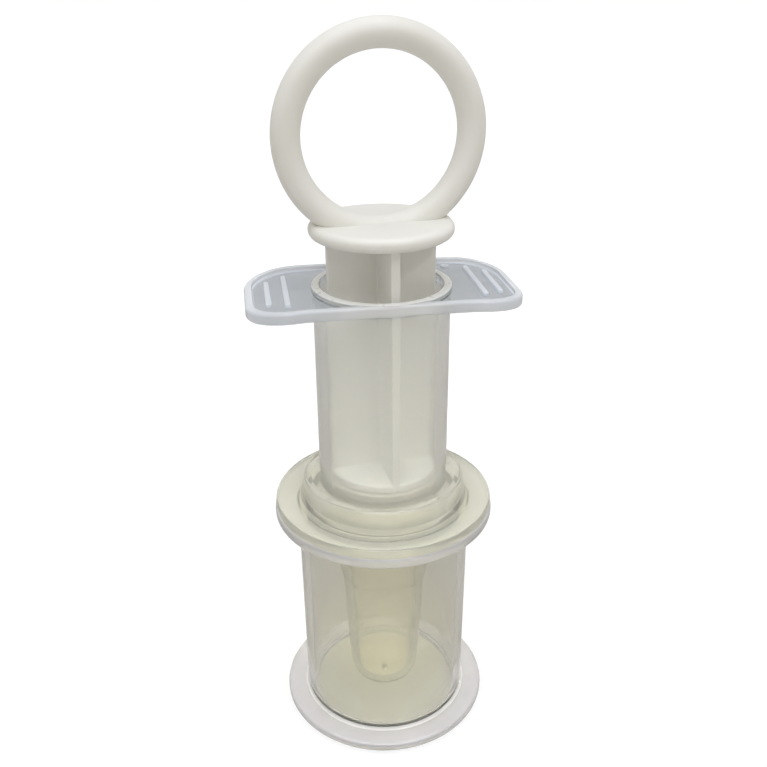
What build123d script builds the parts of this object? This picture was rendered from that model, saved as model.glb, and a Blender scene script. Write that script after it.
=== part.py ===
from build123d import *

import os

# Medicine dropper: a plunger syringe that empties through a soft teat, standing in its own dust cap.
# Sizes are millimetres. The origin is the centre of the cap's foot, on the surface it stands on.
# +Z is up and the finger wings run along X. Everything that is round is turned about Z.

# Dust cap: a clear cup with a foot flange below and a rim flange above.
foot_radius = 20.45
foot_thickness = 1.7
cap_radius_low = 16.2
cap_radius_high = 16.45
cap_wall = 1.5
cap_floor_top = 1.6
cap_corner_round = 1.0
cap_foot_fillet = 0.5
cap_rim_radius = 20.8
cap_rim_thickness = 2.0
cap_rim_fillet = 0.6
cap_height = 45.85

# Teat: one silicone moulding, with a collar that grips the barrel, a flange and a hollow nipple.
teat_wall = 1.6
teat_flange_radius = 20.55
teat_flange_top = 47.7
teat_collar_foot_radius = 15.9
teat_collar_radius_low = 15.45
teat_collar_radius_high = 15.05
teat_collar_step = 1.0
teat_collar_top = 51.9
teat_collar_lip_width = 1.4
teat_collar_lip_drop = 0.2
teat_collar_lip = 50.9
teat_plug_bottom = 43.4
teat_base_radius_high = 11.0
teat_base_radius_low = 8.75
teat_shoulder_height = 30.4
teat_shoulder_slope = 0.8
nipple_radius_high = 8.15
nipple_radius_low = 6.75
nipple_end_round = 5.2
nipple_tip = 2.6
outlet_radius = 0.6
cavity_ledge_radius = 9.4
cavity_bend_height = 42.4
cavity_shoulder_top = 31.9
cavity_shoulder_bottom = 28.4

# Barrel: a frosted tube with a floor, a spout below it, a mouth collar and two finger wings.
barrel_radius = 12.0
bore_radius = 10.5
barrel_base = 45.4
barrel_floor_top = 46.9
mouth_top = 89.6
mouth_radius = 12.2
mouth_taper = 0.5
spout_radius_high = 3.0
spout_radius_low = 2.7
spout_bore_radius = 1.5
spout_tip = 33.0

# Finger wings: one rounded plate through the mouth, with a raised rim, a sunk floor and grip ribs.
wing_half_length = 23.7
wing_half_depth = 12.5
wing_corner_radius = 8.0
wing_thickness = 2.0
wing_edge_round = 0.5
wing_droop = 1.2
wing_rim_width = 1.4
wing_recess_depth = 0.7
wing_bend_start = mouth_radius
rib_width = 1.0
rib_height = 0.5
rib_places = ((16.7, 7.8), (19.75, 6.0))
gate_mark_place = (13.1, 8.7)
gate_mark_radius = 0.8
gate_mark_height = 0.35

# Piston seal: a silicone cup with two sealing lips, buttoned onto the end of the rod.
seal_bottom = 47.1
seal_top = 52.8
seal_waist_radius = 9.9
seal_lip_height = 1.5
seal_lip_taper = 0.6
button_radius = 4.4
button_bottom = 48.8
button_top = 50.6
stem_radius = 3.0

# Plunger: finger ring, thumb disc, cross-shaped rod and end disc in one white moulding.
plunger_turn = 5.0
ring_centre_height = 114.5
ring_radius = 15.5
ring_tube_radius = 2.4
thumb_disc_radius = 12.4
thumb_disc_bottom = 98.1
thumb_disc_top = 100.5
thumb_disc_round = 1.1
rod_half_width = 9.6
rod_web_thickness = 1.6
rod_rib_thickness = 1.5
end_disc_radius = 9.7
end_disc_top = 54.3

# Radial clearance where one piece is pushed into another, or slides or turns in it.
fit_clearance = 0.05
plug_clearance = 0.07

# A margin for cutting tools that have to reach past a surface.
past = 5.0


def turned(*corners):
    """Solid of revolution about Z; each corner is its radius, its height and its rounding."""
    points = [(radius, 0, height) for radius, height, _ in corners]
    rounds = [rounding for _, _, rounding in corners]
    return revolve(make_face(FilletPolyline(*points, radius=rounds, close=True)), Axis.Z)


def dust_cap():
    """Straight-sided cup; its bore at the top takes the teat's plug."""
    return turned(
        (0, 0, 0),
        (foot_radius, 0, 0.7),
        (foot_radius, foot_thickness, 0.8),
        (cap_radius_low, foot_thickness, cap_foot_fillet),
        (cap_radius_high, cap_height - cap_rim_thickness, cap_rim_fillet),
        (cap_rim_radius, cap_height - cap_rim_thickness, 0.8),
        (cap_rim_radius, cap_height, 0.7),
        (cap_radius_high - cap_wall, cap_height, 0.5),
        (cap_radius_low - cap_wall, cap_floor_top, cap_corner_round),
        (0, cap_floor_top, 0),
    )


def teat():
    """Hollow silicone nipple; the wall follows the outside, and the barrel stands on a ledge in it."""
    socket_radius = barrel_radius + fit_clearance
    plug_radius = cap_radius_high - cap_wall - plug_clearance
    outside = (
        (teat_collar_foot_radius, teat_flange_top, 0.25),
        (teat_collar_radius_low, teat_flange_top + teat_collar_step, 0.4),
        (teat_collar_radius_high, teat_collar_top, 0.6),
        (teat_collar_radius_high - teat_collar_lip_width, teat_collar_top - teat_collar_lip_drop, 0.5),
        (socket_radius, teat_collar_lip, 0.2),
    )
    socket_and_cavity = (
        (socket_radius, barrel_base, 0),
        (cavity_ledge_radius, barrel_base, 0),
        (teat_base_radius_high - teat_wall, cavity_bend_height, 1.0),
        (teat_base_radius_low - teat_wall, cavity_shoulder_top, 1.0),
        (nipple_radius_high - teat_wall, cavity_shoulder_bottom, 1.0),
        (nipple_radius_low - teat_wall, nipple_tip + teat_wall, nipple_end_round - teat_wall),
        (outlet_radius, nipple_tip + teat_wall, 0),
    )
    nipple_and_flange = (
        (outlet_radius, nipple_tip, 0),
        (nipple_radius_low, nipple_tip, nipple_end_round),
        (nipple_radius_high, teat_shoulder_height - teat_shoulder_slope, 0.3),
        (teat_base_radius_low, teat_shoulder_height, 0.45),
        (teat_base_radius_high, cavity_bend_height, 1.5),
        (plug_radius, teat_plug_bottom, 0.8),
        (plug_radius, cap_height, 0),
        (teat_flange_radius, cap_height, 0.5),
        (teat_flange_radius, teat_flange_top, 0.7),
    )
    return turned(*outside, *socket_and_cavity, *nipple_and_flange)


def bent_slab(top, bottom):
    """Slab across X between two heights at the middle, whose ends bend down beyond the barrel."""
    reach = wing_half_length + past
    fall = wing_droop * ((reach - wing_bend_start) / (wing_half_length - wing_bend_start)) ** 2
    edges = []
    for height in (top, bottom):
        edges.append(Line((-wing_bend_start, 0, height), (wing_bend_start, 0, height)))
        for side in (-1, 1):
            start = (side * wing_bend_start, 0, height)
            end = (side * reach, 0, height - fall)
            edges.append(TangentArc(start, end, tangent=(side, 0, 0)))
    for side in (-1, 1):
        edges.append(Line((side * reach, 0, top - fall), (side * reach, 0, bottom - fall)))
    return extrude(make_face(edges), amount=wing_half_depth + past, both=True)


def wing_plan(inset):
    """Upright block with the wings' rounded outline, drawn in from it by the inset."""
    outline = RectangleRounded(
        2 * (wing_half_length - inset),
        2 * (wing_half_depth - inset),
        wing_corner_radius - inset,
    )
    return Pos(0, 0, mouth_top) * extrude(outline, amount=3 * past, both=True)


def finger_wings():
    """Plate with rounded edges, a sunk floor inside its rim, and two grip ribs on each side."""
    floor = mouth_top - wing_recess_depth
    plate = bent_slab(mouth_top, mouth_top - wing_thickness) & wing_plan(0)
    cross_edges = plate.edges().filter_by(Axis.Y)
    seams = cross_edges.filter_by(lambda edge: abs(edge.center().X) < wing_bend_start + 1)
    uprights = plate.edges().filter_by(Axis.Z)
    plate = fillet(plate.edges() - seams - uprights, wing_edge_round)
    plate -= bent_slab(mouth_top + past, floor) & wing_plan(wing_rim_width)
    ribs = bent_slab(floor + rib_height, floor - rib_height)
    for place, half_length in rib_places:
        for side in (-1, 1):
            strip = Pos(side * place, 0, floor) * Box(rib_width, 2 * half_length, 2 * past)
            plate += ribs & strip
    return plate


def barrel():
    """Tube, spout and wings; the bore is clear from the mouth to the floor."""
    tube = turned(
        (spout_bore_radius, spout_tip, 0),
        (spout_bore_radius, barrel_floor_top, 0),
        (bore_radius, barrel_floor_top, 0.5),
        (bore_radius, mouth_top, 0.5),
        (mouth_radius, mouth_top, 0.4),
        (mouth_radius, mouth_top - wing_thickness, 0),
        (barrel_radius, mouth_top - wing_thickness - mouth_taper, 0),
        (barrel_radius, barrel_base, 0.6),
        (spout_radius_high, barrel_base, 0.5),
        (spout_radius_low, spout_tip, 0.3),
    )
    opening = Pos(0, 0, mouth_top) * Cylinder((bore_radius + mouth_radius) / 2, 4 * past)
    mark_place = Pos(*gate_mark_place, mouth_top - wing_recess_depth)
    mark = mark_place * Cylinder(gate_mark_radius, 2 * gate_mark_height)
    return tube + (finger_wings() - opening) + mark


def piston_seal():
    """Cup with a lip at each end and a pocket that snaps over the rod's button."""
    lip_radius = bore_radius - fit_clearance
    neck_radius = stem_radius + fit_clearance
    pocket_radius = button_radius + fit_clearance
    return turned(
        (0, seal_bottom, 0),
        (lip_radius, seal_bottom, 0.4),
        (lip_radius, seal_bottom + seal_lip_height, 0.4),
        (seal_waist_radius, seal_bottom + seal_lip_height + seal_lip_taper, 0),
        (seal_waist_radius, seal_top - seal_lip_height - seal_lip_taper, 0),
        (lip_radius, seal_top - seal_lip_height, 0.4),
        (lip_radius, seal_top, 0.4),
        (neck_radius, seal_top, 0),
        (neck_radius, button_top + fit_clearance, 0),
        (pocket_radius, button_top + fit_clearance, 0),
        (pocket_radius, button_bottom - fit_clearance, 0),
        (0, button_bottom - fit_clearance, 0),
    )


def plunger():
    """Finger ring sunk into the thumb disc, on a cross-shaped rod that ends in a disc and a button."""
    disc_middle = (thumb_disc_bottom + thumb_disc_top) / 2
    ring = Pos(0, 0, ring_centre_height) * Rot(90, 0, 0) * Torus(ring_radius, ring_tube_radius)
    ring -= Pos(0, 0, disc_middle - past) * Box(2 * ring_radius, 2 * past, 2 * past)
    thumb_disc = turned(
        (0, thumb_disc_bottom, 0),
        (thumb_disc_radius, thumb_disc_bottom, thumb_disc_round),
        (thumb_disc_radius, thumb_disc_top, thumb_disc_round),
        (0, thumb_disc_top, 0),
    )
    rod_length = disc_middle - (seal_top + end_disc_top) / 2
    rod_place = Pos(0, 0, disc_middle - rod_length / 2)
    rod = rod_place * Box(2 * rod_half_width, rod_web_thickness, rod_length)
    rod += rod_place * Box(rod_rib_thickness, 2 * rod_half_width, rod_length)
    end = turned(
        (0, button_bottom, 0),
        (button_radius, button_bottom, 0.6),
        (button_radius, button_top, 0.2),
        (stem_radius, button_top, 0),
        (stem_radius, seal_top, 0),
        (end_disc_radius, seal_top, 0.3),
        (end_disc_radius, end_disc_top, 0.3),
        (0, end_disc_top, 0),
    )
    return Rot(0, 0, plunger_turn) * (ring + thumb_disc + rod + end)


nodes = {
    "dust_cap": dust_cap(),
    "teat": teat(),
    "barrel": barrel(),
    "piston_seal": piston_seal(),
    "plunger": plunger(),
}

os.makedirs("parts", exist_ok=True)
for name, shape in nodes.items():
    export_step(shape, f"parts/{name}.step")
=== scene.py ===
import math

import bpy
from mathutils import Matrix, Vector


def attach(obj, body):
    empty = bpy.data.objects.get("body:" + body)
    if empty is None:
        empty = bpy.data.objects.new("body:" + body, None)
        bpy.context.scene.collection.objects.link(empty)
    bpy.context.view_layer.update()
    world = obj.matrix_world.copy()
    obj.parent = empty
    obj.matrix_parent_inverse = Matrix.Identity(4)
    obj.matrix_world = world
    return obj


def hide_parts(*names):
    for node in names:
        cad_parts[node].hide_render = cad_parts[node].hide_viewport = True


# A medicine dropper standing in its dust cap. The frame is in metres; the sizes below are millimetres,
# and mesh() turns them into metres. Every piece stands exactly where its CAD node stands.

MM = 0.001
SEGMENTS = 256
ARC_STEP = math.radians(10)
SPAN_STEP = 1.5
SHARP_ANGLE = math.radians(38)
BOUNCES = 24

# Dust cap
FOOT_RADIUS = 20.45
FOOT_THICKNESS = 1.7
FOOT_FILLET = 0.5
CAP_RADIUS_LOW = 16.2
CAP_RADIUS_HIGH = 16.45
CAP_WALL = 1.5
CAP_FLOOR = 1.6
CAP_RIM_RADIUS = 20.8
CAP_RIM_THICKNESS = 2.0
CAP_RIM_FILLET = 0.6
CAP_HEIGHT = 45.85

# Teat
TEAT_WALL = 1.6
TEAT_FLANGE_RADIUS = 20.55
TEAT_FLANGE_TOP = 47.7
COLLAR_FOOT_RADIUS = 15.9
COLLAR_RADIUS_LOW = 15.45
COLLAR_RADIUS_HIGH = 15.05
COLLAR_LIP_RADIUS = 13.65
COLLAR_TOP = 51.9
COLLAR_LIP = 50.9
PLUG_BOTTOM = 43.4
PLUG_CLEARANCE = 0.07
TEAT_BASE_HIGH = 11.0
TEAT_BASE_LOW = 8.75
SHOULDER = 30.4
SHOULDER_SLOPE = 0.8
NIPPLE_RADIUS_HIGH = 8.15
NIPPLE_RADIUS_LOW = 6.75
NIPPLE_ROUND = 5.2
NIPPLE_TIP = 2.6
OUTLET_RADIUS = 0.6
CAVITY_LEDGE = 9.4
CAVITY_BEND = 42.4
CAVITY_SHOULDER_TOP = 31.9
CAVITY_SHOULDER_BOTTOM = 28.4

# Barrel and finger wings
BARREL_RADIUS = 12.0
BORE_RADIUS = 10.5
BARREL_BASE = 45.4
BARREL_FLOOR = 46.9
SPOUT_TIP = 33.0
SPOUT_BORE = 1.5
SPOUT_RADIUS_HIGH = 3.0
SPOUT_RADIUS_LOW = 2.7
MOUTH_TOP = 89.6
MOUTH_RADIUS = 12.2
MOUTH_TAPER = 0.5
MOUTH_EDGE = 0.31
MOUTH_BANDS = 12
WING_HALF_LENGTH = 23.7
WING_HALF_DEPTH = 12.5
WING_CORNER = 8.0
WING_THICKNESS = 2.0
WING_ROUND = 0.5
WING_DROOP = 1.2
WING_RIM = 1.4
WING_RECESS = 0.7
RIB_PLACES = ((16.7, 7.8), (19.75, 6.0))
RIB_HALF_WIDTH = 0.5
GATE_MARK = (13.1, 8.7)
GATE_MARK_RADIUS = 0.8
SUNK = 0.15

# Seal and plunger
SEAL_BOTTOM = 47.1
SEAL_TOP = 52.8
SEAL_WAIST = 9.9
SEAL_LIP = 1.5
SEAL_TAPER = 0.6
STEM_RADIUS = 3.0
BUTTON_RADIUS = 4.4
BUTTON_BOTTOM = 48.8
BUTTON_TOP = 50.6
PLUNGER_TURN = math.radians(5.0)
RING_CENTRE = 114.5
RING_RADIUS = 15.5
RING_TUBE = 2.4
DISC_RADIUS = 12.4
DISC_BOTTOM = 98.1
DISC_TOP = 100.5
DISC_ROUND = 1.1
ROD_HALF_WIDTH = 9.6
ROD_OVERLAP = 0.3
END_DISC_RADIUS = 9.7
END_DISC_TOP = 54.3

# Clearance of the fits, and the air left between faces that rest on each other
FIT = 0.05
AIR = 0.02

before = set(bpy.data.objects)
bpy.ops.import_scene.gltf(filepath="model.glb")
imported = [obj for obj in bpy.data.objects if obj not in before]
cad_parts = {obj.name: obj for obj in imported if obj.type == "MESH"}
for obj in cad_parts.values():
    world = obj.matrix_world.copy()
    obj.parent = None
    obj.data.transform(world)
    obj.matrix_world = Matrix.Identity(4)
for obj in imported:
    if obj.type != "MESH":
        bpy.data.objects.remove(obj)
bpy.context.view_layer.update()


# ---------------------------------------------------------------- meshes


def rounded(corners, closed=True):
    """Points (x, y) of an outline of (x, y, rounding) corners, with each rounding as an arc."""
    points = []
    count = len(corners)
    for index, (x, y, rounding) in enumerate(corners):
        here = Vector((x, y))
        at_end = not closed and index in (0, count - 1)
        if rounding == 0 or at_end:
            points.append(here)
            continue
        before = (Vector(corners[index - 1][:2]) - here).normalized()
        after = (Vector(corners[(index + 1) % count][:2]) - here).normalized()
        inside = before.angle(after)
        centre = here + (before + after).normalized() * rounding / math.sin(inside / 2)
        start = here + before * rounding / math.tan(inside / 2) - centre
        turn = math.copysign(math.pi - inside, before.x * after.y - before.y * after.x)
        steps = max(2, math.ceil(abs(turn) / ARC_STEP))
        for step in range(steps + 1):
            angle = -turn * step / steps
            points.append(centre + Matrix.Rotation(angle, 2) @ start)
    return points


def spaced(points):
    """The same open line with extra points, so that no step of it is over SPAN_STEP."""
    result = [points[0]]
    for start, end in zip(points, points[1:]):
        steps = max(1, math.ceil((end - start).length / SPAN_STEP))
        result += [start.lerp(end, step / steps) for step in range(1, steps + 1)]
    return result


def mesh(name, points, faces, body, node, material):
    """Object from millimetre points that rides on a body, with smooth shading and sharp real edges."""
    data = bpy.data.meshes.new(name)
    data.from_pydata([Vector(point) * MM for point in points], [], faces)
    data.validate()
    data.shade_smooth()
    data.set_sharp_from_angle(angle=SHARP_ANGLE)
    data.materials.append(material)
    piece = bpy.data.objects.new(name, data)
    bpy.context.scene.collection.objects.link(piece)
    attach(piece, body)
    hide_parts(node)
    return piece


def skin(rings, loop=False):
    """Points and faces over a stack of rings of equal length; a one-point ring is a pole."""
    points = [point for ring in rings for point in ring]
    starts = [0]
    for ring in rings:
        starts.append(starts[-1] + len(ring))
    faces = []
    pairs = list(zip(range(len(rings)), range(1, len(rings))))
    if loop:
        pairs.append((len(rings) - 1, 0))
    for low, high in pairs:
        a, b = starts[low], starts[high]
        count = max(len(rings[low]), len(rings[high]))
        for k in range(count):
            n = (k + 1) % count
            if len(rings[low]) == 1:
                faces.append((a, b + n, b + k))
            elif len(rings[high]) == 1:
                faces.append((a + k, a + n, b))
            else:
                faces.append((a + k, a + n, b + n, b + k))
    return points, faces


def capped(rings):
    """A stack of rings closed by a flat face at each end."""
    points, faces = skin(rings)
    first, last = len(rings[0]), len(rings[-1])
    faces.append(tuple(reversed(range(first))))
    faces.append(tuple(range(len(points) - last, len(points))))
    return points, faces


def circle(radius, height, segments=SEGMENTS):
    """Ring of points about Z, or the one point on the axis."""
    if radius < 1e-6:
        return [(0, 0, height)]
    turns = [2 * math.pi * k / segments for k in range(segments)]
    return [(radius * math.cos(t), radius * math.sin(t), height) for t in turns]


def lathe(corners, loop=False):
    """Closed surface of revolution about Z; the outline runs counter-clockwise, radius to the right."""
    outline = rounded(corners, closed=loop)
    if loop:
        outline.append(outline[0])
    outline = spaced(outline)
    if loop:
        outline.pop()
    return skin([circle(p.x, p.y) for p in outline], loop)


def turned(points_and_faces, angle):
    """The same surface turned about Z."""
    points, faces = points_and_faces
    spin = Matrix.Rotation(angle, 3, "Z")
    return [spin @ Vector(point) for point in points], faces


# ---------------------------------------------------------------- materials


def srgb(red, green, blue):
    """Linear colour from the 0 to 255 values of a screen colour."""
    def channel(value):
        value /= 255
        return value / 12.92 if value <= 0.04045 else ((value + 0.055) / 1.055) ** 2.4
    return (channel(red), channel(green), channel(blue), 1.0)


class Look:
    """A material being built: its nodes, and the coordinates of the object, in metres."""

    def __init__(self, name):
        self.material = bpy.data.materials.new(name)
        self.material.use_nodes = True
        self.tree = self.material.node_tree
        self.shader = self.tree.nodes["Principled BSDF"]
        self.output = self.tree.nodes["Material Output"]
        self.place = self.add("ShaderNodeTexCoord").outputs["Object"]

    def add(self, kind, **values):
        node = self.tree.nodes.new(kind)
        for key, value in values.items():
            setattr(node, key, value)
        return node

    def link(self, start, end):
        self.tree.links.new(start, end)

    def noise(self, size, detail=3.0):
        """Noise whose features are about the given size in millimetres."""
        noise = self.add("ShaderNodeTexNoise")
        noise.inputs["Scale"].default_value = 1 / (size * MM)
        noise.inputs["Detail"].default_value = detail
        self.link(self.place, noise.inputs["Vector"])
        return noise.outputs["Fac"]

    def blend(self, factor, first, second):
        """Colour that goes from the first to the second as the factor goes from 0.3 to 0.7."""
        ramp = self.add("ShaderNodeValToRGB")
        ramp.color_ramp.elements[0].position = 0.3
        ramp.color_ramp.elements[0].color = first
        ramp.color_ramp.elements[1].position = 0.7
        ramp.color_ramp.elements[1].color = second
        self.link(factor, ramp.inputs["Fac"])
        return ramp.outputs["Color"]

    def spread(self, factor, low, high):
        """Value that goes from low to high as the factor goes from 0.3 to 0.7."""
        ranged = self.add("ShaderNodeMapRange")
        ranged.inputs["From Min"].default_value = 0.3
        ranged.inputs["From Max"].default_value = 0.7
        ranged.inputs["To Min"].default_value = low
        ranged.inputs["To Max"].default_value = high
        self.link(factor, ranged.inputs["Value"])
        return ranged.outputs["Result"]

    def bump(self, height, depth):
        """Surface relief of the given depth in millimetres."""
        bump = self.add("ShaderNodeBump")
        bump.inputs["Strength"].default_value = 1.0
        bump.inputs["Distance"].default_value = depth * MM
        self.link(height, bump.inputs["Height"])
        self.link(bump.outputs["Normal"], self.shader.inputs["Normal"])

    def lets_lamps_through(self, colour):
        """Shadow rays pass through tinted, as through a real thin clear wall."""
        path = self.add("ShaderNodeLightPath")
        clear = self.add("ShaderNodeBsdfTransparent")
        clear.inputs["Color"].default_value = colour
        mix = self.add("ShaderNodeMixShader")
        self.link(path.outputs["Is Shadow Ray"], mix.inputs["Fac"])
        self.link(self.shader.outputs["BSDF"], mix.inputs[1])
        self.link(clear.outputs["BSDF"], mix.inputs[2])
        self.link(mix.outputs["Shader"], self.output.inputs["Surface"])


def white_plastic():
    """Satin white moulded plastic, faintly mottled, with the fine grain of the tool."""
    look = Look("white_plastic")
    shader = look.shader.inputs
    look.link(look.blend(look.noise(9.0), srgb(234, 233, 226), srgb(238, 237, 232)), shader["Base Color"])
    look.link(look.spread(look.noise(3.0), 0.42, 0.50), shader["Roughness"])
    shader["IOR"].default_value = 1.49
    shader["Subsurface Weight"].default_value = 0.15
    shader["Subsurface Radius"].default_value = (1.0, 0.9, 0.8)
    shader["Subsurface Scale"].default_value = 0.8 * MM
    look.bump(look.noise(0.25), 0.01)
    return look.material


def glassy(name, colours, mottle, roughness, transmission, ior, shade):
    """Look of a see-through plastic or rubber: a lower transmission is milkier, and the shade tints
    the lamps' light at each face that it passes."""
    look = Look(name)
    shader = look.shader.inputs
    look.link(look.blend(look.noise(mottle), *colours), shader["Base Color"])
    look.link(look.spread(look.noise(mottle / 4), *roughness), shader["Roughness"])
    shader["IOR"].default_value = ior
    shader["Transmission Weight"].default_value = transmission
    look.lets_lamps_through(shade)
    return look


def frosted_plastic():
    """Milky natural polypropylene of the barrel, which blurs what is behind it."""
    colours = srgb(246, 246, 242), srgb(249, 249, 245)
    look = glassy("frosted_plastic", colours, 14.0, (0.15, 0.19), 0.76, 1.33, srgb(248, 248, 244))
    return look.material


def wing_plastic():
    """The wings' polished faces: clearer and a little blue, and tinted grey as painted shade that darkens
    what shows through them.
    """
    colours = srgb(212, 218, 226), srgb(220, 226, 232)
    look = glassy("wing_plastic", colours, 8.0, (0.06, 0.12), 0.85, 1.45, srgb(240, 242, 245))
    look.bump(look.noise(3.0, detail=1.0), 0.03)
    return look.material


def rim_plastic():
    """The wings' rims and grip bars, where the plastic is thicker and milkier."""
    colours = srgb(236, 239, 243), srgb(241, 243, 246)
    look = glassy("rim_plastic", colours, 6.0, (0.12, 0.18), 0.38, 1.42, srgb(246, 247, 249))
    look.bump(look.noise(2.0, detail=1.0), 0.01)
    return look.material


def mouth_plastic_painted_light():
    """The barrel's mouth and the wall just below it, seen edge on and so the milkiest, and painted light
    besides: made milky and light to lift the thumb disc's shadow on it.
    """
    colours = srgb(243, 243, 240), srgb(247, 247, 244)
    look = glassy("mouth_plastic_painted_light", colours, 7.0, (0.26, 0.34), 0.12, 1.35, srgb(250, 250, 248))
    return look.material


def clear_plastic():
    """Polished clear plastic of the cap's wall, with a grey cast and slight waves from the tool."""
    colours = srgb(238, 238, 231), srgb(242, 242, 237)
    look = glassy("clear_plastic", colours, 18.0, (0.02, 0.06), 0.95, 1.46, srgb(252, 252, 250))
    look.bump(look.noise(5.0, detail=1.0), 0.02)
    return look.material


def cap_root_painted_light():
    """The inside corner between the cap's wall and its foot, made milky and light: painted light, a
    bright band where the corner would otherwise show a dark line.
    """
    colours = srgb(238, 237, 236), srgb(243, 242, 241)
    look = glassy("cap_root_painted_light", colours, 10.0, (0.20, 0.28), 0.25, 1.46, srgb(250, 250, 248))
    return look.material


def cap_edge_plastic():
    """The cap's foot and rim: the same plastic seen through more of it, milky with a cold cast."""
    colours = srgb(237, 235, 237), srgb(242, 241, 242)
    look = glassy("cap_edge_plastic", colours, 10.0, (0.05, 0.09), 0.70, 1.46, srgb(250, 250, 248))
    look.bump(look.noise(4.0, detail=1.0), 0.02)
    return look.material


def clear_silicone():
    """Polished clear silicone of the nipple, with a faint yellow cast and soft waves."""
    colours = srgb(252, 250, 240), srgb(254, 253, 245)
    look = glassy("clear_silicone", colours, 12.0, (0.03, 0.07), 0.88, 1.41, srgb(253, 252, 248))
    look.bump(look.noise(4.0, detail=1.0), 0.03)
    return look.material


def collar_silicone():
    """The teat's collar, solid silicone that is clear, thick and a little yellow."""
    colours = srgb(252, 251, 238), srgb(254, 253, 243)
    look = glassy("collar_silicone", colours, 9.0, (0.03, 0.06), 0.73, 1.41, srgb(252, 251, 244))
    look.bump(look.noise(5.0, detail=1.0), 0.04)
    return look.material


def flange_silicone_painted_shade():
    """The teat's flange, solid silicone too, with the lamps full on it: its colour is painted darker than
    the collar's, as painted shade.
    """
    colours = srgb(242, 242, 230), srgb(246, 246, 235)
    look = glassy("flange_silicone_painted_shade", colours, 9.0, (0.04, 0.08), 0.82, 1.41, srgb(250, 249, 242))
    look.bump(look.noise(5.0, detail=1.0), 0.04)
    return look.material


def milky_silicone():
    """Satin, nearly opaque silicone of the piston seal."""
    look = Look("milky_silicone")
    shader = look.shader.inputs
    look.link(look.blend(look.noise(4.0), srgb(222, 218, 204), srgb(230, 226, 213)), shader["Base Color"])
    look.link(look.spread(look.noise(1.5), 0.40, 0.52), shader["Roughness"])
    shader["Transmission Weight"].default_value = 0.25
    look.bump(look.noise(0.5), 0.01)
    return look.material


# ---------------------------------------------------------------- dust cap and teat


def paint(piece, material, chosen):
    """Gives a further material to the faces whose middle, as its radius and height, is chosen."""
    piece.data.materials.append(material)
    index = len(piece.data.materials) - 1
    for polygon in piece.data.polygons:
        middle = polygon.center / MM
        if chosen(math.hypot(middle.x, middle.y), middle.z):
            polygon.material_index = index


def make_dust_cap(wall, edges, root):
    """Cup with a foot and a rim, which have a milkier look than its wall."""
    rim_bottom = CAP_HEIGHT - CAP_RIM_THICKNESS
    points, faces = lathe((
        (0, 0, 0),
        (FOOT_RADIUS, 0, 0.7),
        (FOOT_RADIUS, FOOT_THICKNESS, 0.8),
        (CAP_RADIUS_LOW, FOOT_THICKNESS, FOOT_FILLET),
        (CAP_RADIUS_HIGH, rim_bottom, CAP_RIM_FILLET),
        (CAP_RIM_RADIUS, rim_bottom, 0.8),
        (CAP_RIM_RADIUS, CAP_HEIGHT - AIR, 0.7),
        (CAP_RADIUS_HIGH - CAP_WALL, CAP_HEIGHT - AIR, 0.5),
        (CAP_RADIUS_LOW - CAP_WALL, CAP_FLOOR, 1.0),
        (0, CAP_FLOOR, 0),
    ))
    piece = mesh("dust_cap_shell", points, faces, "dust_cap", "dust_cap", wall)
    wall_inside, wall_outside = CAP_RADIUS_LOW - 0.3, CAP_RADIUS_HIGH + 0.5
    root_low, root_high = FOOT_THICKNESS - 0.1, FOOT_THICKNESS + 0.6
    paint(piece, edges, lambda radius, height: radius > wall_outside)
    # Painted light: the corner between wall and foot gets a milky, light look that brightens its dark
    # line
    paint(piece, root, lambda radius, height: (
        wall_inside < radius < wall_outside and root_low < height < root_high))


def make_teat(thin, collar, flange):
    """Hollow nipple, plug, flange and collar in one skin, milkier where it is thick."""
    socket = BARREL_RADIUS + FIT
    plug = CAP_RADIUS_HIGH - CAP_WALL - PLUG_CLEARANCE
    points, faces = lathe((
        (OUTLET_RADIUS, NIPPLE_TIP, 0),
        (NIPPLE_RADIUS_LOW, NIPPLE_TIP, NIPPLE_ROUND),
        (NIPPLE_RADIUS_HIGH, SHOULDER - SHOULDER_SLOPE, 0.3),
        (TEAT_BASE_LOW, SHOULDER, 0.45),
        (TEAT_BASE_HIGH, CAVITY_BEND, 1.5),
        (plug, PLUG_BOTTOM, 0.8),
        (plug, CAP_HEIGHT, 0),
        (TEAT_FLANGE_RADIUS, CAP_HEIGHT, 0.5),
        (TEAT_FLANGE_RADIUS, TEAT_FLANGE_TOP, 0.7),
        (COLLAR_FOOT_RADIUS, TEAT_FLANGE_TOP, 0.25),
        (COLLAR_RADIUS_LOW, TEAT_FLANGE_TOP + 1.0, 0.4),
        (COLLAR_RADIUS_HIGH, COLLAR_TOP, 0.6),
        (COLLAR_LIP_RADIUS, COLLAR_TOP - 0.2, 0.5),
        (socket, COLLAR_LIP, 0.2),
        (socket, BARREL_BASE - AIR, 0),
        (CAVITY_LEDGE, BARREL_BASE - AIR, 0),
        (TEAT_BASE_HIGH - TEAT_WALL, CAVITY_BEND, 1.0),
        (TEAT_BASE_LOW - TEAT_WALL, CAVITY_SHOULDER_TOP, 1.0),
        (NIPPLE_RADIUS_HIGH - TEAT_WALL, CAVITY_SHOULDER_BOTTOM, 1.0),
        (NIPPLE_RADIUS_LOW - TEAT_WALL, NIPPLE_TIP + TEAT_WALL, NIPPLE_ROUND - TEAT_WALL),
        (OUTLET_RADIUS, NIPPLE_TIP + TEAT_WALL, 0),
    ), loop=True)
    piece = mesh("teat_body", points, faces, "teat", "teat", thin)
    thick_above = PLUG_BOTTOM + 0.1
    paint(piece, collar, lambda radius, height: height > thick_above)
    # The flange's darker copy of the silicone is painted shade against the lamps' full light on its top
    paint(piece, flange, lambda radius, height: height > thick_above and radius > COLLAR_FOOT_RADIUS)


# ---------------------------------------------------------------- barrel


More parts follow.
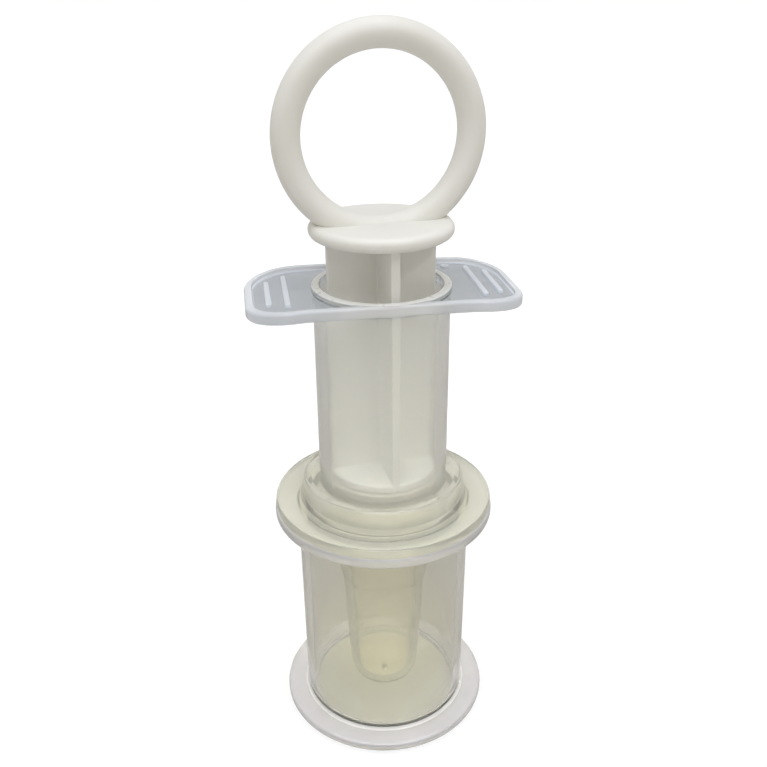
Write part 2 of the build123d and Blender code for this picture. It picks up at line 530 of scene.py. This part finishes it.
def wing_reach(angle, inset):
    """Distance from the axis to the wings' rounded outline, drawn in by the inset, at an angle."""
    length, depth, corner = WING_HALF_LENGTH - inset, WING_HALF_DEPTH - inset, WING_CORNER - inset
    across, along = abs(math.cos(angle)), abs(math.sin(angle))
    if along * length <= across * (depth - corner):
        return length / across
    if across * depth <= along * (length - corner):
        return depth / along
    middle = across * (length - corner) + along * (depth - corner)
    spare = (length - corner) ** 2 + (depth - corner) ** 2 - corner ** 2
    return middle + math.sqrt(middle ** 2 - spare)


def droop(x):
    """How far the wings have bent down at a distance from the axis."""
    past_mouth = max(0.0, abs(x) - MOUTH_RADIUS)
    return WING_DROOP * (past_mouth / (WING_HALF_LENGTH - MOUTH_RADIUS)) ** 2


def smooth_step(value):
    """Rises smoothly from 0 to 1 as the value does."""
    value = min(1.0, max(0.0, value))
    return value * value * (3 - 2 * value)


def wing_ring(reach, height):
    """Ring whose distance from the axis and height are functions of the angle, bent down outwards."""
    ring = []
    for k in range(SEGMENTS):
        angle = 2 * math.pi * (k + 0.5) / SEGMENTS
        x, y = reach(angle) * math.cos(angle), reach(angle) * math.sin(angle)
        ring.append((x, y, height(angle) - droop(x)))
    return ring


def recess_depth(angle):
    """Depth of the wings' sunk floor, which fades out where the rim meets the mouth."""
    width = wing_reach(angle, WING_RIM) - MOUTH_RADIUS
    return WING_RECESS * smooth_step(width / 1.2)


def wing_rings():
    """Rings of the wings' floor from the mouth outwards, of their rim and edge, and back under them.

    The margins keep the rings apart where the wings' rim runs along the mouth.
    """
    def clear_of_mouth(inset, margin):
        return lambda angle: max(wing_reach(angle, inset), MOUTH_RADIUS + margin)

    def lowered(amount):
        return lambda angle: MOUTH_TOP - amount

    def on_floor(share):
        return lambda angle: MOUTH_TOP - share * recess_depth(angle)

    floor = [
        wing_ring(lambda angle: MOUTH_RADIUS, on_floor(0.25)),
        wing_ring(lambda angle: MOUTH_RADIUS + 0.02, on_floor(0.8)),
        wing_ring(lambda angle: MOUTH_RADIUS + 0.05, on_floor(0.95)),
    ]
    floor_start = MOUTH_RADIUS + 0.06
    floor_reach = clear_of_mouth(WING_RIM + 0.15, 0.08)
    floor_steps = 14
    for step in range(floor_steps + 1):
        def outwards(angle, share=step / floor_steps):
            return floor_start + (floor_reach(angle) - floor_start) * share
        floor.append(wing_ring(outwards, on_floor(1.0)))
    rim = [
        wing_ring(clear_of_mouth(WING_RIM + 0.05, 0.09), on_floor(0.85)),
        wing_ring(clear_of_mouth(WING_RIM, 0.10), on_floor(0.4)),
        wing_ring(clear_of_mouth(WING_RIM - 0.08, 0.11), on_floor(0.08)),
        wing_ring(clear_of_mouth(WING_RIM - 0.2, 0.12), lowered(0)),
    ]
    round_steps = 6
    for step in range(round_steps + 1):
        turn = math.pi / 2 * step / round_steps
        inset = WING_ROUND * (1 - math.sin(turn))
        depth = WING_ROUND * (1 - math.cos(turn))
        rim.append(wing_ring(clear_of_mouth(inset, 0.14 + 0.01 * step), lowered(depth)))
    for step in range(round_steps + 1):
        turn = math.pi / 2 * step / round_steps
        inset = WING_ROUND * (1 - math.cos(turn))
        depth = WING_THICKNESS - WING_ROUND * (1 - math.sin(turn))
        rim.append(wing_ring(clear_of_mouth(inset, 0.2 - 0.01 * step), lowered(depth)))
    under = []
    under_reach = clear_of_mouth(WING_ROUND, 0.14)
    under_steps = 10
    for step in range(1, under_steps + 1):
        def inwards(angle, share=step / under_steps):
            return under_reach(angle) + (MOUTH_RADIUS - under_reach(angle)) * share
        under.append(wing_ring(inwards, lowered(WING_THICKNESS)))
    return floor, rim, under


def make_barrel(frosted, polished, edge, mouth):
    """Tube, wings and spout as one closed skin of rings, with a look for each stretch of it."""
    def round_ring(point):
        return wing_ring(lambda angle: point.x, lambda angle: point.y)

    inside = spaced(rounded((
        (SPOUT_BORE, SPOUT_TIP, 0),
        (SPOUT_BORE, BARREL_FLOOR, 0),
        (BORE_RADIUS, BARREL_FLOOR, 0.5),
        (BORE_RADIUS, MOUTH_TOP, 0.5),
        (MOUTH_RADIUS, MOUTH_TOP, 0.3),
        (MOUTH_RADIUS, MOUTH_TOP - MOUTH_EDGE, 0),
    ), closed=False))[:-1]
    outside = spaced(rounded((
        (MOUTH_RADIUS, MOUTH_TOP - WING_THICKNESS, 0),
        (BARREL_RADIUS, MOUTH_TOP - WING_THICKNESS - MOUTH_TAPER, 0.3),
        (BARREL_RADIUS, BARREL_BASE, 0.6),
        (SPOUT_RADIUS_HIGH, BARREL_BASE, 0.5),
        (SPOUT_RADIUS_LOW, SPOUT_TIP, 0.3),
        (SPOUT_BORE, SPOUT_TIP, 0),
    ), closed=False))[1:-1]
    floor, rim, under = wing_rings()
    wings = floor + rim + under
    rings = [round_ring(p) for p in inside] + wings + [round_ring(p) for p in outside]
    points, faces = skin(rings, loop=True)
    faces = [tuple(reversed(face)) for face in faces]
    piece = mesh("barrel_body", points, faces, "barrel", "barrel", frosted)
    floor_start = len(inside)
    rim_start = floor_start + len(floor) - 1
    under_start = floor_start + len(floor) + len(rim)
    under_end = under_start + len(under)
    for material in (polished, edge, mouth):
        piece.data.materials.append(material)
    # Material number, first band and the band after the last, counted from the bore's end in the spout
    stretches = (
        # The mouth's bands: milky from being seen edge on, and painted light over the thumb disc's shadow
        (3, floor_start - MOUTH_BANDS, floor_start),
        (1, floor_start, rim_start),
        (2, rim_start, under_start),
        (1, under_start, under_end),
    )
    for index, start, end in stretches:
        for polygon in piece.data.polygons[start * SEGMENTS:end * SEGMENTS]:
            polygon.material_index = index


def make_rib(name, place, half_length, material):
    """Raised grip bar sunk a little into a wing's floor, with rounded ends and top."""
    floor = MOUTH_TOP - WING_RECESS - droop(place)
    segments = 24
    rings = []
    for inset, height in ((0, -SUNK), (0, 0.3), (0.05, 0.42), (0.15, 0.49), (0.3, 0.5)):
        radius = RIB_HALF_WIDTH - inset
        ring = []
        for k in range(segments):
            angle = 2 * math.pi * (k + 0.5) / segments
            shift = math.copysign(half_length - RIB_HALF_WIDTH, math.sin(angle))
            x, y = place + radius * math.cos(angle), shift + radius * math.sin(angle)
            ring.append((x, y, floor + height))
        rings.append(ring)
    points, faces = capped(rings)
    mesh(name, points, faces, "barrel", "barrel", material)


def make_gate_mark(material):
    """Small raised dot with a dimple, which moulding leaves on one wing."""
    across, along = GATE_MARK
    floor = MOUTH_TOP - WING_RECESS - droop(across)
    segments = 32
    outline = rounded((
        (GATE_MARK_RADIUS, floor - SUNK, 0),
        (GATE_MARK_RADIUS, floor + 0.25, 0.2),
        (0.3, floor + 0.3, 0.1),
        (0, floor + 0.12, 0),
    ), closed=False)
    rings = [circle(p.x, p.y, segments) for p in outline]
    rings = [[(x + across, y + along, z) for x, y, z in ring] for ring in rings]
    points, faces = skin(rings)
    faces.append(tuple(reversed(range(segments))))
    mesh("gate_mark", points, faces, "barrel", "barrel", material)


# ---------------------------------------------------------------- seal and plunger


def make_seal(material):
    """Piston seal with a lip at each end, a waist between them and a socket for the rod's button."""
    lip = BORE_RADIUS - FIT
    waist_start = SEAL_LIP + SEAL_TAPER
    points, faces = lathe((
        (0, SEAL_BOTTOM, 0),
        (lip, SEAL_BOTTOM, 0.4),
        (lip, SEAL_BOTTOM + SEAL_LIP, 0.4),
        (SEAL_WAIST, SEAL_BOTTOM + waist_start, 0.2),
        (SEAL_WAIST, SEAL_TOP - waist_start, 0.2),
        (lip, SEAL_TOP - SEAL_LIP, 0.4),
        (lip, SEAL_TOP, 0.4),
        (STEM_RADIUS + FIT, SEAL_TOP, 0),
        (STEM_RADIUS + FIT, BUTTON_TOP + FIT, 0),
        (BUTTON_RADIUS + FIT, BUTTON_TOP + FIT, 0),
        (BUTTON_RADIUS + FIT, BUTTON_BOTTOM - FIT, 0),
        (0, BUTTON_BOTTOM - FIT, 0),
    ))
    mesh("seal_body", points, faces, "piston_seal", "piston_seal", material)


def make_ring(material):
    """Finger ring, a round bar bent into a full circle and flattened inside the thumb disc."""
    buried = (DISC_BOTTOM + DISC_TOP) / 2
    path_steps, section_steps = 192, 40
    rings = []
    for step in range(path_steps):
        turn = 2 * math.pi * step / path_steps
        outwards = Vector((math.cos(turn), 0, math.sin(turn)))
        middle = Vector((0, 0, RING_CENTRE)) + outwards * RING_RADIUS
        ring = []
        for k in range(section_steps):
            angle = 2 * math.pi * k / section_steps
            side = Vector((0, 1, 0)) * math.sin(angle) + outwards * math.cos(angle)
            point = middle + side * RING_TUBE
            point.z = max(point.z, buried)
            ring.append(point)
        rings.append(ring)
    points, faces = turned(skin(rings, loop=True), PLUNGER_TURN)
    mesh("finger_ring", points, faces, "plunger", "plunger", material)


def make_rod(material):
    """Cross-shaped rod, a little heavier at its top, with its ends sunk into the two discs."""
    bottom, top = END_DISC_TOP - ROD_OVERLAP, DISC_BOTTOM + ROD_OVERLAP
    rings = []
    for height, web, rib in ((bottom, 0.72, 0.68), (top, 0.85, 0.8)):
        corners = []
        for x, y in ((1, 1), (-1, 1), (-1, -1), (1, -1)):
            arm = [
                (x * ROD_HALF_WIDTH, y * web, 0.25),
                (x * rib, y * web, 0.4),
                (x * rib, y * ROD_HALF_WIDTH, 0.25),
            ]
            corners += arm if x * y > 0 else arm[::-1]
        rings.append([(p.x, p.y, height) for p in rounded(corners)])
    points, faces = turned(capped(rings), PLUNGER_TURN)
    mesh("plunger_rod", points, faces, "plunger", "plunger", material)


def make_plunger(material):
    """Finger ring, thumb disc, end disc with its button, and the rod between the discs."""
    make_ring(material)
    points, faces = lathe((
        (0, DISC_BOTTOM, 0),
        (DISC_RADIUS, DISC_BOTTOM, DISC_ROUND),
        (DISC_RADIUS, DISC_TOP, DISC_ROUND),
        (0, DISC_TOP, 0),
    ))
    mesh("thumb_disc", points, faces, "plunger", "plunger", material)
    points, faces = lathe((
        (0, BUTTON_BOTTOM, 0),
        (BUTTON_RADIUS, BUTTON_BOTTOM, 0.6),
        (BUTTON_RADIUS, BUTTON_TOP, 0.2),
        (STEM_RADIUS, BUTTON_TOP, 0),
        (STEM_RADIUS, SEAL_TOP + AIR, 0),
        (END_DISC_RADIUS, SEAL_TOP + AIR, 0.3),
        (END_DISC_RADIUS, END_DISC_TOP, 0.3),
        (0, END_DISC_TOP, 0),
    ))
    mesh("rod_end", points, faces, "plunger", "plunger", material)
    make_rod(material)


# ---------------------------------------------------------------- studio


def direction(azimuth, elevation):
    """Unit vector from the object; azimuth 0 is in front, 90 to the right, in degrees."""
    a, e = math.radians(azimuth), math.radians(elevation)
    return Vector((math.sin(a) * math.cos(e), -math.cos(a) * math.cos(e), math.sin(e)))


def add_lamp(data, power, colour, place, target):
    """Lamp object at a place, shining at the target."""
    data.energy = power
    data.color = colour
    lamp = bpy.data.objects.new(data.name, data)
    bpy.context.scene.collection.objects.link(lamp)
    lamp.location = place
    lamp.rotation_mode = "QUATERNION"
    lamp.rotation_quaternion = (target - place).to_track_quat("-Z", "Y")
    return lamp


def make_camera():
    """Camera in front of the object, just above the level of its finger ring, looking down."""
    azimuth = math.radians(-9.2)
    distance, height, aside = 146.6 * MM, 139.4 * MM, 0.22 * MM
    pitch, roll = math.radians(-25.3), math.radians(-0.38)
    data = bpy.data.cameras.new("camera")
    data.sensor_width = 36.0
    data.lens = 41.65
    data.clip_start, data.clip_end = 0.01, 50.0
    camera = bpy.data.objects.new("camera", data)
    bpy.context.scene.collection.objects.link(camera)
    heading = Matrix.Rotation(azimuth, 4, "Z")
    tilt = Matrix.Rotation(math.pi / 2 + pitch, 4, "X")
    camera.matrix_world = (
        heading @ Matrix.Translation((aside, -distance, height)) @ tilt @ Matrix.Rotation(roll, 4, "Z")
    )
    bpy.context.scene.camera = camera


def make_sun(name, azimuth, elevation, angle, power, colour, on_diffuse=True):
    """Far lamp, a disc of the given angle in the sky; matt surfaces can be left out of its light."""
    data = bpy.data.lights.new(name, "SUN")
    data.angle = math.radians(angle)
    lamp = add_lamp(data, power, colour, direction(azimuth, elevation), Vector())
    lamp.visible_diffuse = on_diffuse


def make_window(name, azimuth, elevation, distance, size, power, colour):
    """Long bright strip, as of a row of ceiling lamps, that faces the middle of the object."""
    data = bpy.data.lights.new(name, "AREA")
    data.shape = "RECTANGLE"
    data.size, data.size_y = size
    middle = Vector((0, 0, 60 * MM))
    add_lamp(data, power, colour, middle + direction(azimuth, elevation) * distance, middle)


def make_floor():
    """White floor, nearly shadowless to the camera and duller to the light that it throws back."""
    data = bpy.data.meshes.new("floor")
    reach = 12.0
    low = -0.1 * MM
    corners = [(-reach, -reach, low), (reach, -reach, low), (reach, reach, low), (-reach, reach, low)]
    data.from_pydata(corners, [], [(0, 1, 2, 3)])
    floor = bpy.data.objects.new("floor", data)
    bpy.context.scene.collection.objects.link(floor)
    look = Look("floor_paint")
    shader = look.shader.inputs
    white = look.blend(look.noise(400.0), (0.9, 0.9, 0.9, 1), (0.93, 0.93, 0.93, 1))
    look.link(white, shader["Base Color"])
    shader["Roughness"].default_value = 0.9
    shader["Emission Color"].default_value = (1, 1, 1, 1)
    shader["Emission Strength"].default_value = 0.12
    path = look.add("ShaderNodeLightPath")
    mix = look.add("ShaderNodeMixShader")
    dull = look.add("ShaderNodeBsdfDiffuse")
    dull.inputs["Color"].default_value = (0.55, 0.53, 0.50, 1.0)
    look.link(path.outputs["Is Camera Ray"], mix.inputs["Fac"])
    look.link(dull.outputs["BSDF"], mix.inputs[1])
    look.link(look.shader.outputs["BSDF"], mix.inputs[2])
    look.link(mix.outputs["Shader"], look.output.inputs["Surface"])
    data.materials.append(look.material)


def make_studio():
    """Camera, floor and an even bright room, as in a catalogue picture."""
    make_camera()
    world = bpy.data.worlds.new("world")
    bpy.context.scene.world = world
    world.use_nodes = True
    background = world.node_tree.nodes["Background"]
    background.inputs["Color"].default_value = (1.0, 0.97, 0.91, 1.0)
    background.inputs["Strength"].default_value = 0.52
    make_sun("soft_sky", 0, 84, 50, 1.45, (0.94, 0.98, 1.08))
    make_sun("right_lamp", 28, 40, 4, 0.3, (1.0, 0.98, 0.95))
    for number, azimuth in enumerate((-56, -37, -16, 26, 43)):
        make_sun(f"glint_{number}", azimuth, 46, 0.5, 0.18, (1, 1, 1), on_diffuse=False)
    make_window("window", -38, 48, 20.0, (15.0, 0.2), 300, (0.98, 0.99, 1.0))
    make_floor()
    scene = bpy.context.scene
    scene.view_settings.view_transform = "Standard"
    scene.cycles.max_bounces = BOUNCES
    scene.cycles.transmission_bounces = BOUNCES
    scene.cycles.transparent_max_bounces = BOUNCES


make_studio()
make_dust_cap(clear_plastic(), cap_edge_plastic(), cap_root_painted_light())
make_teat(clear_silicone(), collar_silicone(), flange_silicone_painted_shade())
rim = rim_plastic()
make_barrel(frosted_plastic(), wing_plastic(), rim, mouth_plastic_painted_light())
for place, half_length in RIB_PLACES:
    for side, side_name in ((-1, "left"), (1, "right")):
        make_rib(f"grip_rib_{side_name}_{round(place)}", side * place, half_length, rim)
make_gate_mark(rim)
make_seal(milky_silicone())
make_plunger(white_plastic())
